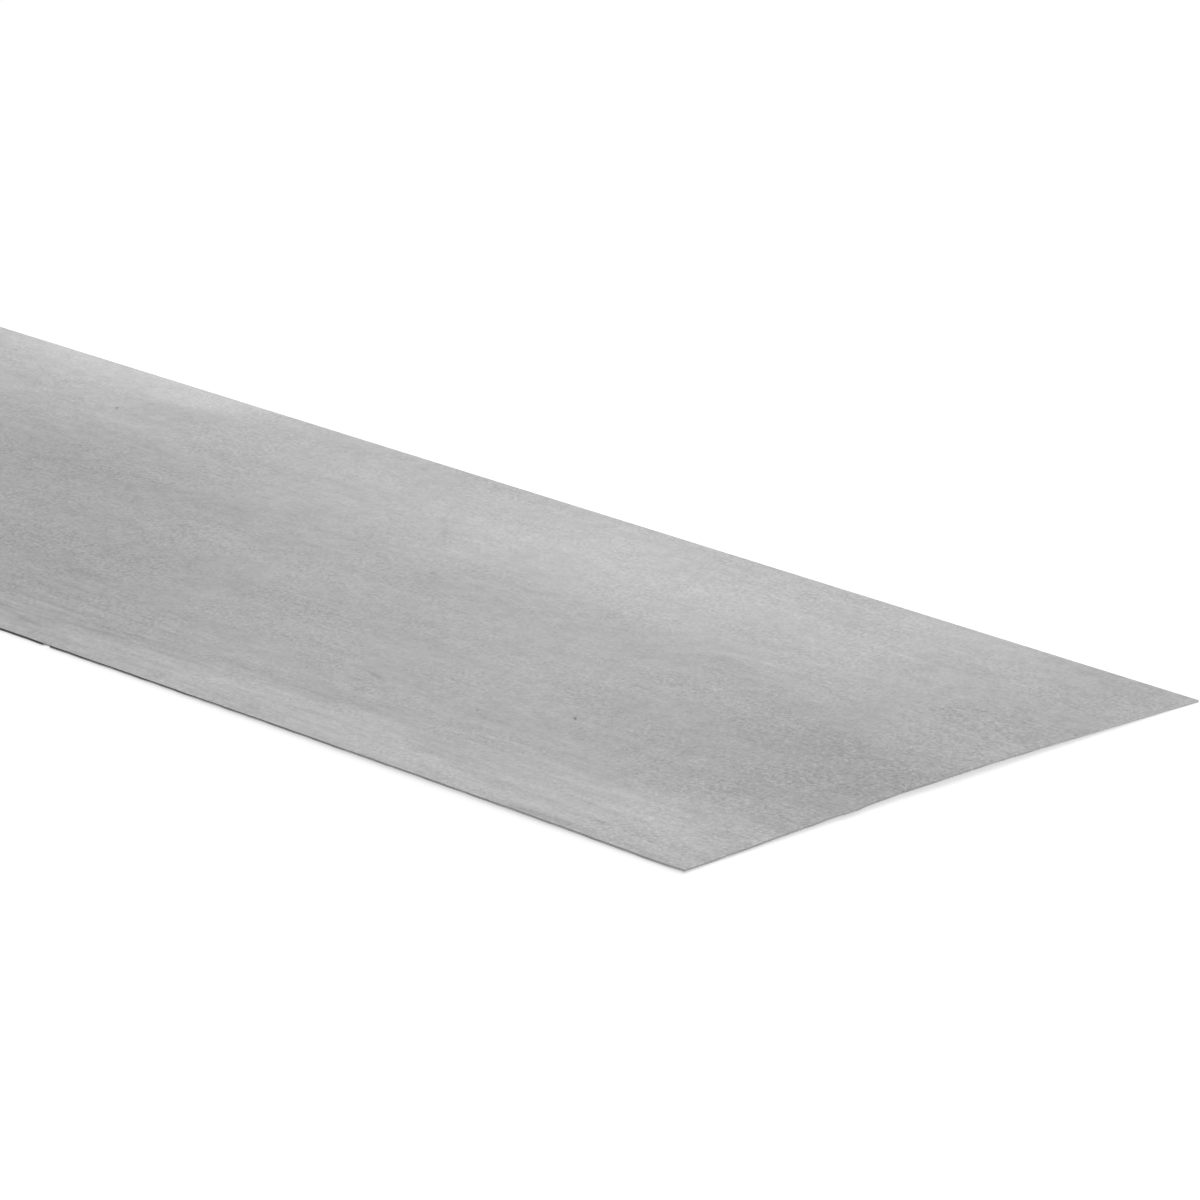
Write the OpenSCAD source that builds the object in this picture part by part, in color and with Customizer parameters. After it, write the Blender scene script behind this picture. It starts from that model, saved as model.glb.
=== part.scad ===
// Galvanized steel sheet, cut to a stock size and lying on the floor on its two long edges.
// +X runs along the sheet, +Y across it from the front edge to the back edge, +Z is up.
// The origin is under the middle of the sheet, on the floor.

/* [Sheet] */
// Length of the sheet, in millimetres
sheet_length = 1000; // [500:50:2000]
// Width of the sheet, measured along its underside
sheet_width = 300; // [250:10:600]
// Thickness of the steel with its zinc coating
sheet_thickness = 1; // [0.5:0.05:1.5]

/* [Crossbow] */
// Where the soft lengthwise bend lies, as a share of the width from the front edge
bend_place = 0.54; // [0.4:0.01:0.6]
// Height over the floor at which the undersides of the two flat flanks would meet
bend_rise = 2.6; // [1:0.1:4]
// Radius of the soft bend, on the underside
bend_radius = 1500; // [500:50:2000]

/* [Hidden] */

// Reach of each flank from its long edge to the line where the flanks would meet
front_reach = sheet_width * bend_place;
back_reach = sheet_width - front_reach;
// Slope of each flank against the floor, in degrees
front_slope = asin(bend_rise / front_reach);
back_slope = asin(bend_rise / back_reach);
// The bend turns through both slopes and touches each flank this far from the meeting line
bend_angle = front_slope + back_slope;
bend_tangent = bend_radius * tan(bend_angle / 2);
front_flank = front_reach - bend_tangent;
// Distance between the two long edges, straight over the floor
floor_span = front_reach * cos(front_slope) + back_reach * cos(back_slope);
// Axis of the bend, across the sheet and up
bend_axis = [
    front_flank * cos(front_slope) + bend_radius * sin(front_slope) - floor_span / 2,
    front_flank * sin(front_slope) - bend_radius * cos(front_slope)
];
// Steps along the bend, each under 0.002 mm off the true arc
bend_steps = 16;

// Points of the section at a given height off the underside, across the sheet and up
function front_edge(height) = [
    -floor_span / 2 - height * sin(front_slope),
    height * cos(front_slope)
];
function back_edge(height) = [
    floor_span / 2 + height * sin(back_slope),
    height * cos(back_slope)
];
function bend_point(turn, height) = bend_axis + (bend_radius + height) * [sin(turn), cos(turn)];
function bend_turn(step) = bend_angle * step / bend_steps - front_slope;

// The section's outline: out along the underside and back along the top
function section_outline() = [
    front_edge(0),
    for (step = [0 : bend_steps]) bend_point(bend_turn(step), 0),
    back_edge(0),
    back_edge(sheet_thickness),
    for (step = [bend_steps : -1 : 0]) bend_point(bend_turn(step), sheet_thickness),
    front_edge(sheet_thickness)
];

// The whole sheet: front flank, soft bend and back flank in one piece of steel
module sheet() {
    color([0.71, 0.71, 0.71])
        rotate([90, 0, 90])
            linear_extrude(sheet_length, center = true)
                polygon(section_outline());
}

sheet();
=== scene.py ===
"""Looks of a galvanized steel sheet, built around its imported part.

Lengths are in metres, in the part's own frame: +X along the sheet, +Y from its front edge
to its back edge, +Z up, with the floor at z = 0.
"""

import math

import bpy
import numpy as np
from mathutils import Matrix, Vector


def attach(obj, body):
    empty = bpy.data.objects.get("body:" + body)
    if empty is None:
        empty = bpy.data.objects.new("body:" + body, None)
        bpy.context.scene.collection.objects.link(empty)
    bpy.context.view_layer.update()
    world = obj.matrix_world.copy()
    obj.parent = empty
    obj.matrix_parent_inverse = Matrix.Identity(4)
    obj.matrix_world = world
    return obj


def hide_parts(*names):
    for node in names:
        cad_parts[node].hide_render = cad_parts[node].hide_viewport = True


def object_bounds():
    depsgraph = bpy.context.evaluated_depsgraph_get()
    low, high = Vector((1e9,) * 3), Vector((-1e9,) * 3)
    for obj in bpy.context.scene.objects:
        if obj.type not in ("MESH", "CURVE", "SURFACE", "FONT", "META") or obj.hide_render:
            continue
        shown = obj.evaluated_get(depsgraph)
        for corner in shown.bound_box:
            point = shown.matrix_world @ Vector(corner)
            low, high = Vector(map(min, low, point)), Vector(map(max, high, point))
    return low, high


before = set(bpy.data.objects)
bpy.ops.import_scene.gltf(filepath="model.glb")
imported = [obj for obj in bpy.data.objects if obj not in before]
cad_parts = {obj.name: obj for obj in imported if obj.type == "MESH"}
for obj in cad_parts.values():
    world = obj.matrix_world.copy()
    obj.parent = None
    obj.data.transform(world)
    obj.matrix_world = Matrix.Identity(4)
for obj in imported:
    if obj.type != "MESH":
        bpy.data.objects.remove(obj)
cad_low, cad_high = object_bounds()

# The sheet's section, as in the part's source
SHEET_WIDTH = 0.300
THICKNESS = 0.001
BEND_PLACE = 0.54
BEND_RISE = 0.0026
BEND_RADIUS = 1.5

FRONT_REACH = SHEET_WIDTH * BEND_PLACE
BACK_REACH = SHEET_WIDTH - FRONT_REACH
FRONT_SLOPE = math.asin(BEND_RISE / FRONT_REACH)
BACK_SLOPE = math.asin(BEND_RISE / BACK_REACH)
BEND_TANGENT = BEND_RADIUS * math.tan((FRONT_SLOPE + BACK_SLOPE) / 2)
FRONT_FLANK = FRONT_REACH - BEND_TANGENT
FLOOR_SPAN = FRONT_REACH * math.cos(FRONT_SLOPE) + BACK_REACH * math.cos(BACK_SLOPE)
BEND_Y = FRONT_FLANK * math.cos(FRONT_SLOPE) + BEND_RADIUS * math.sin(FRONT_SLOPE) - FLOOR_SPAN / 2
BEND_Z = FRONT_FLANK * math.sin(FRONT_SLOPE) - BEND_RADIUS * math.cos(FRONT_SLOPE)

# Mesh of the sheet
CELL_ALONG = 0.004
CELL_ACROSS = 0.003
EDGE_STEPS = (0.0, 0.0003, 0.0008, 0.0014, 0.0022, 0.0035, 0.005)
PLACE_DIGITS = 6
SHARP_ANGLE = math.radians(40)
ZINC_SLOT, SHEARED_SLOT, TORN_SLOT = range(3)

# The sheared edge, from the top down: rolled-over arris, smooth sheared band, torn band.
# The zinc covers the first steps of the arris, and the border between the bands wanders.
ROLLOVER = 0.00012
ROLLOVER_STEPS = 4
ROLLOVER_ZINC_STEPS = 1
TORN_SHARE = 0.5
TORN_WANDER = 0.22

# Cuts wander in waves of these lengths. The front one does so by FRONT_WANDER to each side, and
# the points within FRONT_CUT_REACH of it follow.
WANDER_LENGTHS = (0.0137, 0.031, 0.088)
FRONT_WANDER = 0.0002
FRONT_CUT_REACH = 0.008

# A low wave lifts the front edge off the floor near the +X end
WAVE_LIFT = 0.0009
WAVE_MIDDLE = 0.38
WAVE_LEFT = 0.46
WAVE_RIGHT = 0.19
WAVE_REACH = 0.085

# The near corner is bent up a little
CORNER_LIFT = 0.00045
CORNER_REACH = 0.022

# The +X end is cut by hand: places across the sheet, and how far the cut falls short there.
# The mesh is finer from the first to the second place in TRIM_FINE, in steps of the third.
TRIM = (
    (-0.150, 0.0), (-0.130, 0.0008), (-0.112, 0.0009), (-0.104, 0.0013), (-0.062, 0.0016),
    (-0.0595, 0.0009), (-0.051, 0.0009), (-0.048, 0.0017), (-0.024, 0.0020), (-0.003, 0.0010),
    (0.040, 0.0010), (0.057, 0.0013), (0.076, 0.0011), (0.130, 0.0007), (0.150, 0.0),
)
TRIM_FINE = (-0.066, -0.044, 0.0008)
TRIM_REACH = 0.012

# A nick in the front edge, where the cut is dented in and the zinc is pressed down over it
NICK_PLACE = 0.1116
NICK_HALF_LENGTH = 0.0023
NICK_REACH = 0.0022
NICK_DEPTH = 0.0008
NICK_DENT = 0.0011
NICK_STEPS = 19

# Camera
CAMERA_PLACE = (2.4478, -2.0629, 1.00176)
CAMERA_YAW = math.radians(136.208)
CAMERA_PITCH = math.radians(18.044)
SENSOR_WIDTH = 36.0
LENS = 223.48

# Light and floor
FLOOR_HALF = 12.0
FLOOR_DROP = 0.00004
FLOOR_GREY = 0.7
FLOOR_LIFT = 0.66
WORLD_SEEN = 1.0
WORLD_LIGHT = 0.50
WORLD_SLANT = (0.30, 0.38, 0.0)
FIRST_BOUNCE = 0.5
SOFTBOX_PLACE = (-0.9, 0.50, 0.18)
SOFTBOX_AIM = (-0.9, 0.0, 0.0)
SOFTBOX_SIZE = (4.0, 0.35)
SOFTBOX_POWER = 3.0

# Noise nodes give values round this middle, and this gain spreads them about 1 to each side
NOISE_MIDDLE = 0.5
NOISE_GAIN = 8.0

# Zinc skin, which counts as the top face by how far it faces up
TOP_FADE = (-0.5, 0.5)
ZINC_GREY = 0.405
ZINC_ROUGHNESS = 0.45
ROUGHNESS_SPREAD = 0.02
ZINC_EDGE_TINT = (0.70, 0.70, 0.70, 1.0)
BUMP_STRENGTH = 0.15
BUMP_HEIGHT = 0.0001

# Noise in the zinc's tone, from large to small, and how strong each is all over
LAYERS = {
    "clouds": {"cell": (0.16, 0.042), "detail": 2.5, "evenness": 0.6, "warp": 0.4},
    "patches": {"cell": (0.045, 0.022), "detail": 1.0},
    "mottle": {"cell": (0.026, 0.016), "detail": 1.0},
    "streaks": {"cell": (0.055, 0.0045), "detail": 2.5, "evenness": 0.65, "warp": 0.3},
    "coarse": {"cell": (0.0095, 0.0070), "detail": 1.0, "evenness": 0.9},
    "frost": {"cell": (0.0022, 0.0017), "detail": 1.2, "evenness": 0.9},
    "grain": {"cell": (0.0020, 0.0020), "detail": 1.2, "evenness": 0.9},
    "flecks": {"cell": (0.0012, 0.0005), "detail": 1.0},
}
EVEN_GAINS = {
    "clouds": 0.026, "mottle": 0.014, "streaks": 0.014,
    "coarse": 0.035, "grain": 0.052, "flecks": 0.014,
}

# More of some noise in places: streaks along the front edge, grain in patches, and frost at the
# +X end with painted glints there, its brightest flecks lightened in the colour
FRONT_FADE = (-0.05, -0.13)
END_FADE_ALONG = (0.41, 0.46)
END_FADE_ACROSS = (0.095, 0.055)
PATCH_FADE = (-1.6, 1.6)
STREAKS_AT_FRONT = 0.052
GRAIN_IN_PATCHES = 0.060
FROST_AT_END = 0.062
PAINTED_GLINT_FADE = (0.6, 2.2)
PAINTED_GLINTS_AT_END = 0.13

# Soft patches on the top face: middle along and across, reach along and across, tone.
# Noise bends their outlines.
PATCHES = (
    # The first two patches, bright along the back edge at the far left, are a painted highlight
    (-0.200, 0.150, 0.140, 0.025, 0.190),
    (-0.115, 0.142, 0.050, 0.020, 0.090),
    (-0.030, 0.130, 0.060, 0.022, -0.030),
    (-0.070, 0.025, 0.150, 0.065, -0.155),
    (0.010, -0.075, 0.120, 0.050, -0.110),
    (0.190, 0.098, 0.130, 0.045, 0.105),
    (0.260, 0.024, 0.130, 0.024, -0.050),
    (0.200, -0.035, 0.080, 0.022, -0.035),
    (0.380, 0.152, 0.100, 0.018, -0.055),
    (0.470, -0.024, 0.095, 0.050, -0.180),
    (0.480, 0.085, 0.075, 0.055, -0.155),
    (0.470, 0.150, 0.060, 0.030, -0.100),
    (0.370, -0.138, 0.220, 0.035, 0.120),
    (0.440, -0.112, 0.055, 0.015, 0.085),
    (0.320, -0.146, 0.050, 0.015, 0.045),
)
DRIFT = {"cell": (0.07, 0.03), "detail": 1.0}
DRIFT_REACH = (0.10, 0.04, 0.0)

# Marks on the top face: middle along and across, turn in degrees, reach along and across, tone
MARKS = (
    # Specks
    (-0.1356, 0.0989, -44, 0.0017, 0.0006, -0.62),
    (0.3406, -0.0569, -44, 0.0017, 0.0006, -0.68),
    (0.304, -0.078, -44, 0.0013, 0.0006, -0.34),
    (0.1573, 0.0322, -44, 0.0019, 0.0011, -0.22),
    (0.1507, 0.0432, -44, 0.0016, 0.0011, -0.16),
    # Scratches and smudges
    (0.2416, -0.0782, -12, 0.0055, 0.0011, -0.28),
    (0.113, 0.080, -45, 0.0200, 0.0014, -0.08),
    (0.101, 0.0895, -43, 0.0055, 0.0016, -0.15),
    (0.163, 0.025, -47, 0.0130, 0.0045, -0.08),
    (0.034, -0.010, 0, 0.0090, 0.0080, -0.05),
    (0.050, -0.0757, 0, 0.0110, 0.0032, -0.09),
    (0.075, -0.0997, -3, 0.0070, 0.0020, -0.09),
    (0.467, -0.0800, 0, 0.0100, 0.0030, 0.08),
    (0.494, -0.1345, 0, 0.0060, 0.0045, -0.13),
    (0.086, -0.0150, 0, 0.0120, 0.0040, -0.08),
    # Streaks
    (-0.112, 0.085, 0, 0.0350, 0.0050, 0.07),
    (0.060, 0.078, -4, 0.0300, 0.0040, 0.05),
    (0.240, 0.046, -2, 0.1200, 0.0050, -0.030),
    (0.240, 0.060, -2, 0.1200, 0.0060, 0.020),
    (0.220, -0.112, 5, 0.1500, 0.0060, -0.050),
    (0.220, -0.124, 5, 0.1500, 0.0050, 0.045),
    (0.113, -0.1225, 7, 0.0240, 0.0016, -0.15),
    (0.128, -0.1160, 7, 0.0180, 0.0014, -0.11),
    (0.079, -0.1345, -9, 0.0120, 0.0016, -0.22),
    (0.3395, 0.0495, 6, 0.0190, 0.0020, 0.095),
    (0.340, 0.038, -9, 0.0160, 0.0035, -0.09),
    (0.262, -0.108, 6, 0.0190, 0.0022, -0.06),
    (0.411, -0.1470, 0, 0.0240, 0.0028, -0.20),
    (0.455, -0.1335, 1, 0.0320, 0.0036, -0.16),
    (0.139, -0.1235, 5, 0.0120, 0.0020, -0.12),
    (0.319, 0.1405, 0, 0.0200, 0.0040, -0.05),
    (0.479, -0.1170, 0, 0.0140, 0.0035, 0.06),
    (-0.060, 0.1400, 0, 0.0200, 0.0050, 0.06),
    (-0.220, 0.1195, 0, 0.0280, 0.0040, 0.06),
    (-0.208, 0.1000, 0, 0.0280, 0.0045, -0.07),
    (-0.053, 0.0850, 0, 0.0200, 0.0050, -0.06),
    (0.250, -0.0380, -1, 0.0300, 0.0030, -0.06),
)

# Bare cut steel in its two bands, its greys painted shade: dark on the long edges and darker
# towards -X, lighter on the ends. On a long edge the grey goes from one value in "along" to the
# other over the places in "fade", and on an end it does so in "across", over CUT_FADE_ACROSS.
CUT_FADE_ACROSS = (0.02, 0.11)
END_FACING = (0.5, 0.9)
CUT_DETAIL = 1.0
SHEARED = {
    "fade": (0.05, 0.45), "along": (0.03, 0.23), "across": (0.30, 0.42),
    "roughness": 0.35, "cell": (0.0005, 0.0040), "spread": 0.10,
}
TORN = {
    "fade": (0.04, 0.22), "along": (0.10, 0.44), "across": (0.62, 0.45),
    "roughness": 0.55, "cell": (0.0006, 0.0003), "spread": 0.18,
}


def underside(y):
    """Height of the underside over the floor, at y across the sheet."""
    front = (y + FLOOR_SPAN / 2) * math.tan(FRONT_SLOPE)
    back = (FLOOR_SPAN / 2 - y) * math.tan(BACK_SLOPE)
    across = y - BEND_Y
    bend = BEND_Z + np.sqrt(BEND_RADIUS**2 - across**2)
    in_front = across < -BEND_RADIUS * math.sin(FRONT_SLOPE)
    behind = across > BEND_RADIUS * math.sin(BACK_SLOPE)
    return np.where(in_front, front, np.where(behind, back, bend))


def edge_wave(x, y):
    """Lift of the front edge's low wave, fading out towards the middle of the sheet."""
    half_length = np.where(x < WAVE_MIDDLE, WAVE_LEFT, WAVE_RIGHT)
    along = np.clip(np.abs(x - WAVE_MIDDLE) / half_length, 0, 1)
    inward = np.clip((y + FLOOR_SPAN / 2) / WAVE_REACH, 0, 1)
    return WAVE_LIFT * np.cos(along * math.pi / 2) ** 2 * (1 - inward) ** 2


def corner(x, y):
    """Lift of the near corner, at the front of the +X end."""
    along = np.clip((cad_high.x - x) / CORNER_REACH, 0, 1)
    inward = np.clip((y - cad_low.y) / CORNER_REACH, 0, 1)
    return CORNER_LIFT * (1 - along) ** 2 * (1 - inward) ** 2


def in_nick(x):
    """1 in the middle of the nick, falling off to 0 at its ends."""
    along = np.clip(np.abs(x - NICK_PLACE) / NICK_HALF_LENGTH, 0, 1)
    return (1 - along**4) ** 2


def nick(x, y):
    """How far the top face is pressed down at the nick in the front edge."""
    inward = np.clip((y - cad_low.y) / NICK_REACH, 0, 1)
    return NICK_DEPTH * in_nick(x) * (1 - inward) ** 2


def trim(x, y):
    """How far points near the +X end move in, to follow its cut."""
    places, depths = np.array(TRIM).T
    depth = np.interp(y, places, depths)
    return depth * np.clip((x - cad_high.x + TRIM_REACH) / TRIM_REACH, 0, 1)


def wander(place):
    """A smooth swing between -1 and 1 along an edge."""
    turns = [2 * math.pi * place / length for length in WANDER_LENGTHS]
    waves = [np.sin(turn + step) for step, turn in enumerate(turns)]
    return sum(waves) / len(waves)


def front_cut(x, y):
    """How far points near the front edge move in, to follow its cut and the nick."""
    inward = np.clip((y - cad_low.y) / FRONT_CUT_REACH, 0, 1)
    return (FRONT_WANDER * (1 + wander(x)) + NICK_DENT * in_nick(x)) * (1 - inward)


def stations(low, high, spacing, extra):
    """Places from low to high, close together at both ends and evenly spaced between."""
    ends = np.array(EDGE_STEPS)
    count = round((high - low - 2 * ends[-1]) / spacing)
    middle = np.linspace(low + ends[-1], high - ends[-1], count + 1)
    return np.unique(np.concatenate([low + ends, middle, high - ends, extra]).round(PLACE_DIGITS))


def rim(rows, columns):
    """Grid indices round the border, from the front left corner, with their outward directions."""
    front = [(i, 0, 0, -1) for i in range(rows)]
    right = [(rows - 1, j, 1, 0) for j in range(columns)]
    back = [(i, columns - 1, 0, 1) for i in reversed(range(rows))]
    left = [(0, j, -1, 0) for j in reversed(range(columns))]
    found = {}
    for i, j, out_x, out_y in front + right + back + left:
        was = found.get((i, j), (0, 0))
        found[i, j] = (was[0] + out_x, was[1] + out_y)
    return tuple(np.array(list(found)).T), np.array(list(found.values()), float)


def edge_rings(rim_low, rim_high, along):
    """How far out and how high each ring of points round the cut lies, from the top down."""
    rings = []
    for step in range(1, ROLLOVER_STEPS + 1):
        turn = math.pi / 2 * step / ROLLOVER_STEPS
        rings.append((ROLLOVER * math.sin(turn), rim_high - ROLLOVER * (1 - math.cos(turn))))
    share = TORN_SHARE + TORN_WANDER * wander(along)
    rings.append((ROLLOVER, rim_low + (rim_high - ROLLOVER - rim_low) * share))
    rings.append((ROLLOVER, rim_low))
    return rings


def sheet_grid():
    """Places of the grid over the sheet, and the heights of its underside and top there."""
    nick_steps = np.linspace(-NICK_HALF_LENGTH, NICK_HALF_LENGTH, NICK_STEPS)
    xs = stations(cad_low.x + ROLLOVER, cad_high.x - ROLLOVER, CELL_ALONG, NICK_PLACE + nick_steps)
    ys = stations(cad_low.y + ROLLOVER, cad_high.y - ROLLOVER, CELL_ACROSS, np.arange(*TRIM_FINE))
    x, y = np.meshgrid(xs, ys, indexing="ij")
    low = underside(y) + edge_wave(x, y) + corner(x, y)
    high = low + THICKNESS - nick(x, y)
    return x - trim(x, y), y + front_cut(x, y), low, high


def sheet_points(x, y, low, high, number):
    """The sheet's points: top, rings round the cut, underside; and the border's loops of them."""
    border, outward = rim(*x.shape)
    rim_place = np.stack([x[border], y[border]], -1)
    rings = edge_rings(low[border], high[border], rim_place.sum(1))
    points = [np.stack([x, y, high], -1).reshape(-1, 3)]
    loops = [number[border]]
    for ring, (out, height) in enumerate(rings):
        points.append(np.column_stack([rim_place + outward * out, height]))
        loops.append(x.size + ring * len(height) + np.arange(len(height)))
    first_low = x.size + len(rings) * len(rim_place)
    points.append(np.stack([x, y, low], -1).reshape(-1, 3))
    loops.append(first_low + number[border])
    return np.concatenate(points), loops, first_low


def sheet_faces(number, loops, first_low):
    """The sheet's faces, and the material slot of each."""
    corners = [number[:-1, :-1], number[1:, :-1], number[1:, 1:], number[:-1, 1:]]
    quads = np.stack(corners, -1).reshape(-1, 4)
    faces = [quads, quads[:, ::-1] + first_low]
    slots = [np.full(2 * len(quads), ZINC_SLOT, np.int32)]
    sheared_rows = ROLLOVER_STEPS + 1 - ROLLOVER_ZINC_STEPS
    row_slots = [ZINC_SLOT] * ROLLOVER_ZINC_STEPS + [SHEARED_SLOT] * sheared_rows
    row_slots += [TORN_SLOT, ZINC_SLOT]
    for upper, lower, slot in zip(loops, loops[1:], row_slots):
        faces.append(np.stack([lower, np.roll(lower, -1), np.roll(upper, -1), upper], -1))
        slots.append(np.full(len(lower), slot, np.int32))
    return np.concatenate(faces), np.concatenate(slots)


def sheet_mesh():
    """The sheet as one closed mesh: top, rolled-over arris, cut faces and underside."""
    x, y, low, high = sheet_grid()
    number = np.arange(x.size).reshape(x.shape)
    points, loops, first_low = sheet_points(x, y, low, high, number)
    faces, slots = sheet_faces(number, loops, first_low)
    mesh = bpy.data.meshes.new("galvanized_sheet")
    mesh.from_pydata(points.tolist(), [], faces.tolist())
    mesh.polygons.foreach_set("material_index", slots)
    mesh.update()
    mesh.shade_smooth()
    mesh.set_sharp_from_angle(angle=SHARP_ANGLE)
    return mesh


def add_node(tree, kind, inputs=None, **settings):
    """A new node with its settings, and its inputs set to values or linked to sockets."""
    made = tree.nodes.new(kind)
    for name, value in settings.items():
        setattr(made, name, value)
    for name, value in (inputs or {}).items():
        if isinstance(value, bpy.types.NodeSocket):
            tree.links.new(value, made.inputs[name])
        else:
            made.inputs[name].default_value = value
    return made


def calc(tree, operation, *values):
    """The result of a math node on sockets or numbers."""
    return add_node(tree, "ShaderNodeMath", dict(enumerate(values)), operation=operation).outputs[0]


def move(tree, operation, *values):
    """The vector result of a vector math node on sockets or vectors."""
    made = add_node(tree, "ShaderNodeVectorMath", dict(enumerate(values)), operation=operation)
    return made.outputs["Vector"]


def dot(tree, first, second):
    """The dot product of two vectors."""
    made = add_node(tree, "ShaderNodeVectorMath", {0: first, 1: second}, operation="DOT_PRODUCT")
    return made.outputs["Value"]


def split(tree, vector):
    """The three parts of a vector."""
    return add_node(tree, "ShaderNodeSeparateXYZ", {0: vector}).outputs


def noise(tree, place, cell, detail, evenness=0.5, warp=0.0):
    """The noise node with cells of that size along and across the sheet."""
    along, across = cell
    scaled = move(tree, "DIVIDE", place, (along, across, across))
    inputs = {
        "Vector": scaled, "Scale": 1.0,
        "Detail": detail, "Roughness": evenness, "Distortion": warp,
    }
    return add_node(tree, "ShaderNodeTexNoise", inputs)


def field(tree, place, **shape):
    """Noise that spreads about 1 to each side of 0."""
    value = noise(tree, place, **shape).outputs["Fac"]
    return calc(tree, "MULTIPLY", calc(tree, "SUBTRACT", value, NOISE_MIDDLE), NOISE_GAIN)


def ramp(tree, value, start, end):
    """0 before start, 1 past end and smooth between."""
    inputs = {"Value": value, "From Min": start, "From Max": end}
    return add_node(tree, "ShaderNodeMapRange", inputs, interpolation_type="SMOOTHSTEP").outputs[0]


def between(tree, share, first, second):
    """The value that lies that share of the way from first to second."""
    if isinstance(first, bpy.types.NodeSocket):
        step = calc(tree, "SUBTRACT", second, first)
    else:
        step = second - first
    return calc(tree, "MULTIPLY_ADD", share, step, first)


def spot(tree, place, middle, turn, reach):
    """1 in the middle of a soft oval, falling off to 0 round it."""
    inputs = {
        "Vector": place, "Location": (*middle, 0.0),
        "Rotation": (0.0, 0.0, turn), "Scale": (*reach, 1.0),
    }
    local = add_node(tree, "ShaderNodeMapping", inputs, vector_type="TEXTURE").outputs[0]
    return calc(tree, "EXPONENT", calc(tree, "MULTIPLY", dot(tree, local, local), -1.0))


def new_material(name):
    """A node material, its shader, the place on the piece and the way its surface faces."""
    material = bpy.data.materials.new(name)
    material.use_nodes = True
    tree = material.node_tree
    shader = tree.nodes["Principled BSDF"]
    place = add_node(tree, "ShaderNodeTexCoord").outputs["Object"]
    facing = add_node(tree, "ShaderNodeNewGeometry").outputs["Normal"]
    return material, tree, shader, place, facing


def patches_and_marks(tree, flat, place):
    """What the soft patches and the small marks add to the tone of the top face."""
    swirl = noise(tree, flat, **DRIFT).outputs["Color"]
    drift = move(tree, "SUBTRACT", swirl, (NOISE_MIDDLE, NOISE_MIDDLE, NOISE_MIDDLE))
    bent = move(tree, "ADD", place, move(tree, "MULTIPLY", drift, DRIFT_REACH))
    extra = 0.0
    for along, across, reach_along, reach_across, gain in PATCHES:
        here = spot(tree, bent, (along, across), 0.0, (reach_along, reach_across))
        extra = calc(tree, "MULTIPLY_ADD", here, gain, extra)
    for along, across, turn, reach_along, reach_across, gain in MARKS:
        here = spot(tree, place, (along, across), math.radians(turn), (reach_along, reach_across))
        extra = calc(tree, "MULTIPLY_ADD", here, gain, extra)
    return extra


def zinc_tone(tree, x, y, layers):
    """The zinc's tone from its noise: about 1, with more of some noise in places."""
    at_front = ramp(tree, y, *FRONT_FADE)
    at_end = calc(tree, "MULTIPLY", ramp(tree, x, *END_FADE_ALONG), ramp(tree, y, *END_FADE_ACROSS))
    in_patches = ramp(tree, layers["patches"], *PATCH_FADE)
    # Painted glints: the frost's brightest flecks made brighter in the colour, standing in for
    # sparkles of light
    painted_glints = ramp(tree, layers["frost"], *PAINTED_GLINT_FADE)
    tone = 1.0
    for name, gain in EVEN_GAINS.items():
        tone = calc(tree, "MULTIPLY_ADD", layers[name], gain, tone)
    more = (
        (layers["streaks"], at_front, STREAKS_AT_FRONT),
        (layers["grain"], in_patches, GRAIN_IN_PATCHES),
        (layers["frost"], at_end, FROST_AT_END),
        (painted_glints, at_end, PAINTED_GLINTS_AT_END),
    )
    for layer, where, gain in more:
        tone = calc(tree, "MULTIPLY_ADD", layer, calc(tree, "MULTIPLY", where, gain), tone)
    return tone


def zinc_material():
    """Satin zinc: soft patches, a fine grain and lengthwise streaks along the front edge."""
    material, tree, shader, place, facing = new_material("zinc_skin")
    x, y, _ = split(tree, place)
    on_top = ramp(tree, split(tree, facing)[2], *TOP_FADE)
    flat = add_node(tree, "ShaderNodeCombineXYZ", {0: x, 1: y, 2: on_top}).outputs[0]
    layers = {name: field(tree, flat, **shape) for name, shape in LAYERS.items()}
    tone = zinc_tone(tree, x, y, layers)
    tone = calc(tree, "MULTIPLY_ADD", patches_and_marks(tree, flat, place), on_top, tone)
    roughness = calc(tree, "MULTIPLY_ADD", layers["mottle"], ROUGHNESS_SPREAD, ZINC_ROUGHNESS)
    relief = {"Height": layers["grain"], "Strength": BUMP_STRENGTH, "Distance": BUMP_HEIGHT}
    tree.links.new(calc(tree, "MULTIPLY", tone, ZINC_GREY), shader.inputs["Base Color"])
    tree.links.new(roughness, shader.inputs["Roughness"])
    tree.links.new(add_node(tree, "ShaderNodeBump", relief).outputs[0], shader.inputs["Normal"])
    shader.inputs["Metallic"].default_value = 1.0
    shader.inputs["Specular Tint"].default_value = ZINC_EDGE_TINT
    return material


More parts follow.
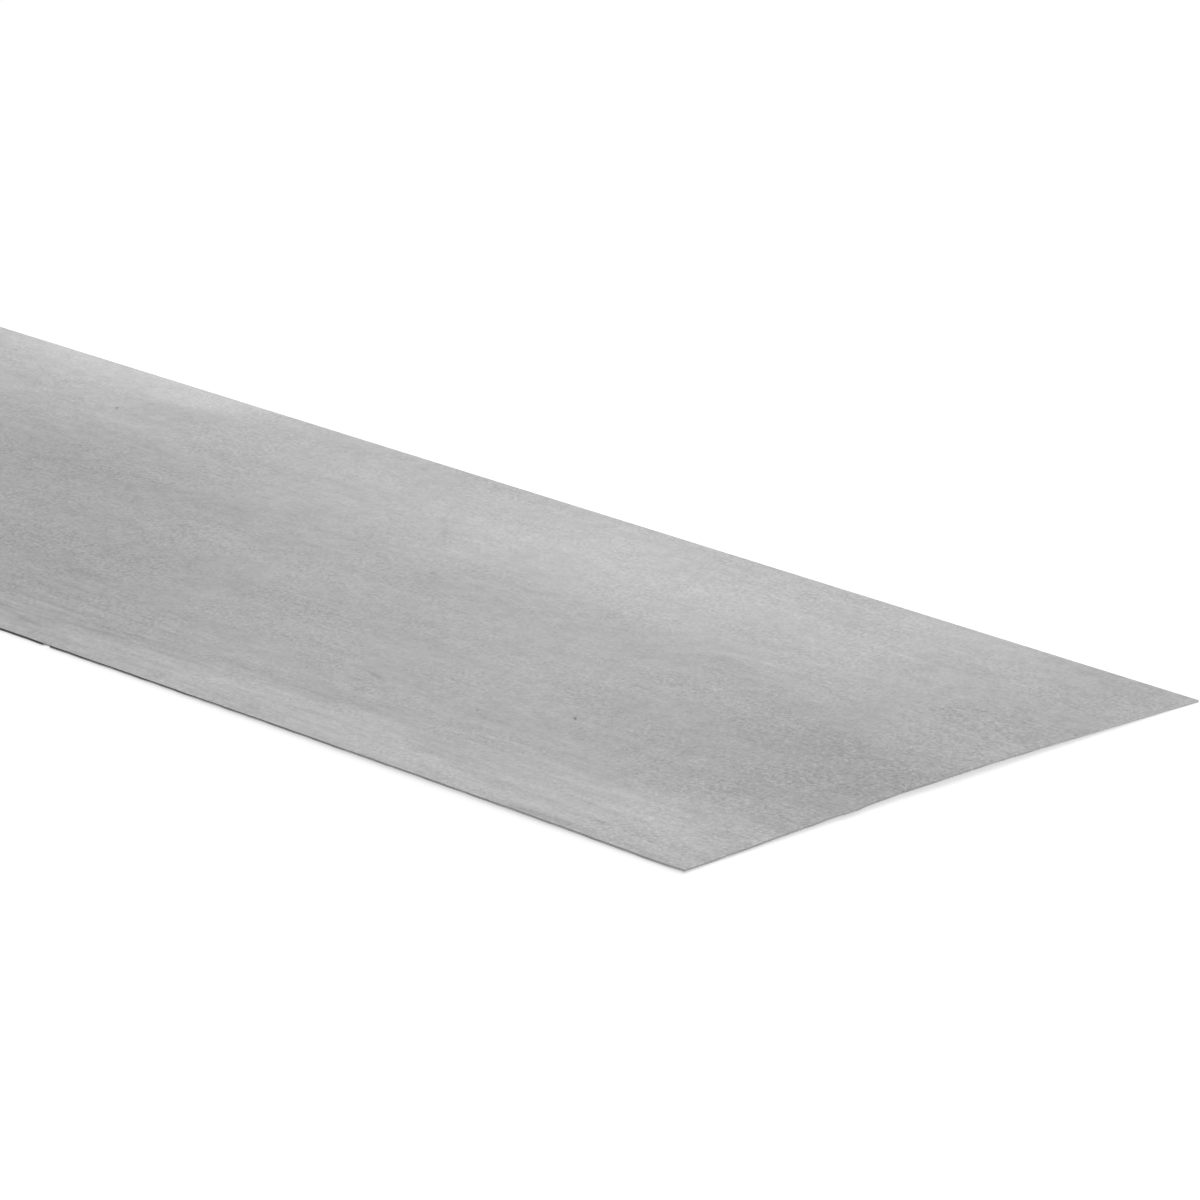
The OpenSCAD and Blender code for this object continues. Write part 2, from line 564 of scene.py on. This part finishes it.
def cut_material(name, fade, along, across, roughness, cell, spread):
    """Bare steel of a cut in painted shade: dark on the long edges, brighter on the ends."""
    material, tree, shader, place, facing = new_material(name)
    x, y, z = split(tree, place)
    # Painted shade: the long edges take a darker grey than the ends, chosen by which way the face
    # faces, and darker towards -X
    long_painted_shade = between(tree, ramp(tree, x, *fade), *along)
    end_painted_light = between(tree, ramp(tree, y, *CUT_FADE_ACROSS), *across)
    at_end = ramp(tree, calc(tree, "ABSOLUTE", split(tree, facing)[0]), *END_FACING)
    grey = between(tree, at_end, long_painted_shade, end_painted_light)
    around = calc(tree, "ADD", x, y)
    round_edge = add_node(tree, "ShaderNodeCombineXYZ", {0: around, 1: z}).outputs[0]
    lines = field(tree, round_edge, cell=cell, detail=CUT_DETAIL)
    grey = calc(tree, "MULTIPLY", calc(tree, "MULTIPLY_ADD", lines, spread, 1.0), grey)
    tree.links.new(grey, shader.inputs["Base Color"])
    shader.inputs["Metallic"].default_value = 1.0
    shader.inputs["Roughness"].default_value = roughness
    return material


def add_sheet():
    """The sheet itself, in place of the plain solid."""
    piece = bpy.data.objects.new("galvanized_sheet", sheet_mesh())
    bpy.context.scene.collection.objects.link(piece)
    piece.data.materials.append(zinc_material())
    piece.data.materials.append(cut_material("sheared_edge", **SHEARED))
    piece.data.materials.append(cut_material("torn_edge", **TORN))
    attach(piece, "root")
    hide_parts("sheet")


def seen_directly(tree):
    """1 for rays that show the background itself: from the camera, off metal or through glass.

    It is 0 after a bounce off something matt, so that the white background adds no light there.
    """
    path = add_node(tree, "ShaderNodeLightPath").outputs
    seen = calc(tree, "MAXIMUM", path["Is Camera Ray"], path["Is Glossy Ray"])
    seen = calc(tree, "MAXIMUM", seen, path["Is Transmission Ray"])
    before = calc(tree, "LESS_THAN", path["Diffuse Depth"], FIRST_BOUNCE)
    return calc(tree, "MULTIPLY", seen, before)


def floor_material():
    """White where it is seen, with the sheet's soft shadow left on it."""
    material = bpy.data.materials.new("floor_white")
    material.use_nodes = True
    tree = material.node_tree
    tree.nodes.clear()
    colour = (FLOOR_GREY, FLOOR_GREY, FLOOR_GREY, 1.0)
    diffuse = add_node(tree, "ShaderNodeBsdfDiffuse", {"Color": colour})
    lift = calc(tree, "MULTIPLY", seen_directly(tree), FLOOR_LIFT)
    glow = add_node(tree, "ShaderNodeEmission", {"Strength": lift})
    both = add_node(tree, "ShaderNodeAddShader", {0: diffuse.outputs[0], 1: glow.outputs[0]})
    add_node(tree, "ShaderNodeOutputMaterial", {"Surface": both.outputs[0]})
    return material


def add_floor():
    """A wide white floor under the sheet."""
    corners = [(-1, -1), (1, -1), (1, 1), (-1, 1)]
    points = [(x * FLOOR_HALF, y * FLOOR_HALF, -FLOOR_DROP) for x, y in corners]
    mesh = bpy.data.meshes.new("floor")
    mesh.from_pydata(points, [], [(0, 1, 2, 3)])
    mesh.materials.append(floor_material())
    floor = bpy.data.objects.new("floor", mesh)
    bpy.context.scene.collection.objects.link(floor)


def set_world():
    """A white studio: even where it is seen, and lighting more from the back and the +X end."""
    world = bpy.data.worlds.new("studio")
    world.use_nodes = True
    tree = world.node_tree
    tree.nodes.clear()
    direction = add_node(tree, "ShaderNodeTexCoord").outputs["Generated"]
    light = calc(tree, "ADD", dot(tree, direction, WORLD_SLANT), WORLD_LIGHT)
    strength = between(tree, seen_directly(tree), light, WORLD_SEEN)
    sky = add_node(tree, "ShaderNodeBackground", {"Color": (1, 1, 1, 1), "Strength": strength})
    add_node(tree, "ShaderNodeOutputWorld", {"Surface": sky.outputs[0]})
    bpy.context.scene.world = world


def add_softbox():
    """A long low softbox behind the sheet."""
    lamp = bpy.data.lights.new("softbox", "AREA")
    lamp.shape = "RECTANGLE"
    lamp.size, lamp.size_y = SOFTBOX_SIZE
    lamp.energy = SOFTBOX_POWER
    item = bpy.data.objects.new("softbox", lamp)
    item.location = SOFTBOX_PLACE
    away = Vector(SOFTBOX_PLACE) - Vector(SOFTBOX_AIM)
    item.rotation_euler = away.to_track_quat("Z", "Y").to_euler()
    item.visible_camera = False
    bpy.context.scene.collection.objects.link(item)


def add_camera():
    """The camera, at the photograph's angle."""
    data = bpy.data.cameras.new("camera")
    data.sensor_width = SENSOR_WIDTH
    data.lens = LENS
    camera = bpy.data.objects.new("camera", data)
    camera.location = CAMERA_PLACE
    camera.rotation_euler = (math.pi / 2 - CAMERA_PITCH, 0.0, CAMERA_YAW - math.pi / 2)
    bpy.context.scene.collection.objects.link(camera)
    bpy.context.scene.camera = camera


add_sheet()
add_floor()
set_world()
add_softbox()
add_camera()
bpy.context.scene.view_settings.view_transform = "Standard"
